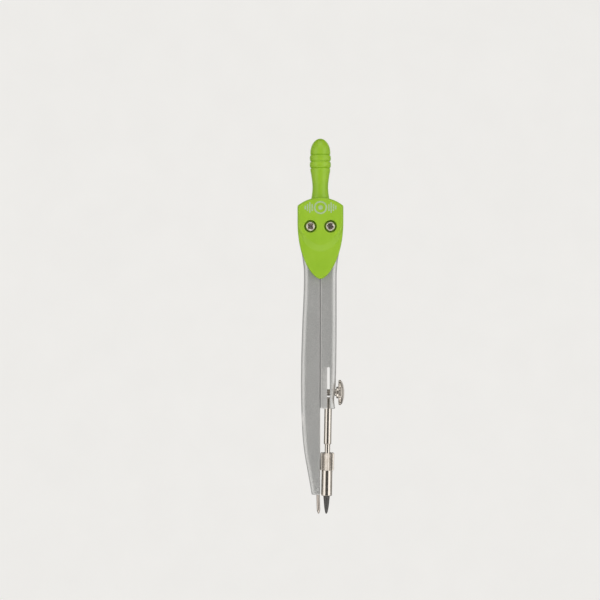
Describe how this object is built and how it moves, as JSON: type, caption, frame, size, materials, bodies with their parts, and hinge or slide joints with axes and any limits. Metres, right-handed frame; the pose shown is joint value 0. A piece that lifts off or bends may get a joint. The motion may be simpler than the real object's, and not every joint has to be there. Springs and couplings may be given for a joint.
{
  "type": "drawing compass",
  "caption": "Drawing compass: geared two-leg head between moulded covers, turned grip, needle leg, and a leg with a split clamp, thumb screw and lead holder.",
  "frame": {"origin": "midway between the two legs and between the front and back faces, level with the needle's and the lead's points", "axes": "+Z from the points to the handle, -Y out of the front cover, +X towards the lead leg's side"},
  "size_m": [0.015, 0.0098, 0.12],
  "materials": {
    "lime_plastic": "moulded, soft gloss",
    "satin_silver": "satin silver paint on a zinc casting",
    "nickel_plate": "polished nickel plate",
    "screw_steel": "nickel-plated steel",
    "washer_steel": "bright rolled steel",
    "needle_steel": "drawn and ground steel",
    "graphite": "sharpened graphite"
  },
  "bodies": {
    "head": {"handle": "lime_plastic", "front_cover": "lime_plastic", "back_cover": "lime_plastic", "pivot_screw_left": "screw_steel", "pivot_screw_right": "screw_steel", "pivot_nut_left": "screw_steel", "pivot_nut_right": "screw_steel", "thrust_washer_left": "washer_steel", "thrust_washer_right": "washer_steel", "spring_washer_left": "washer_steel", "spring_washer_right": "washer_steel"},
    "needle_arm": {"needle_leg": "satin_silver", "needle": "needle_steel"},
    "lead_arm": {"lead_leg": "satin_silver"},
    "clamp_screw": {"thumb_screw": "nickel_plate"},
    "lead_holder": {"lead_holder_body": "nickel_plate"},
    "collet_sleeve": {"lead_holder_sleeve": "nickel_plate"},
    "lead_stick": {"lead": "graphite"}
  },
  "joints": [
    {"name": "lead_leg_swing", "type": "hinge", "parent": "head", "child": "lead_arm", "pos_m": [0.00317, 0, 0.0918], "axis": [0, 1, 0], "range_deg": [-40, 0]},
    {"name": "needle_leg_swing", "type": "hinge", "parent": "head", "child": "needle_arm", "pos_m": [-0.00317, 0, 0.0918], "axis": [0, 1, 0], "range_deg": [0, 40]},
    {"name": "thumb_screw_turn", "type": "hinge", "parent": "lead_arm", "child": "clamp_screw", "pos_m": [0.00575, 0, 0.0388], "axis": [1, 0, 0], "range_deg": [0, 540]},
    {"name": "lead_holder_slide", "type": "slide", "parent": "lead_arm", "child": "lead_holder", "axis": [-0.0178, 0, -0.9998], "range_m": [0, 0.002]},
    {"name": "collet_sleeve_turn", "type": "hinge", "parent": "lead_holder", "child": "collet_sleeve", "pos_m": [0.0019, 0, 0], "axis": [-0.0178, 0, -0.9998], "range_deg": [0, 540]},
    {"name": "lead_slide", "type": "slide", "parent": "lead_holder", "child": "lead_stick", "axis": [-0.0178, 0, -0.9998], "range_m": [0, 0.009]}
  ],
  "couplings": [
    {"joint": "needle_leg_swing", "follows": "lead_leg_swing", "ratio": -1}
  ]
}
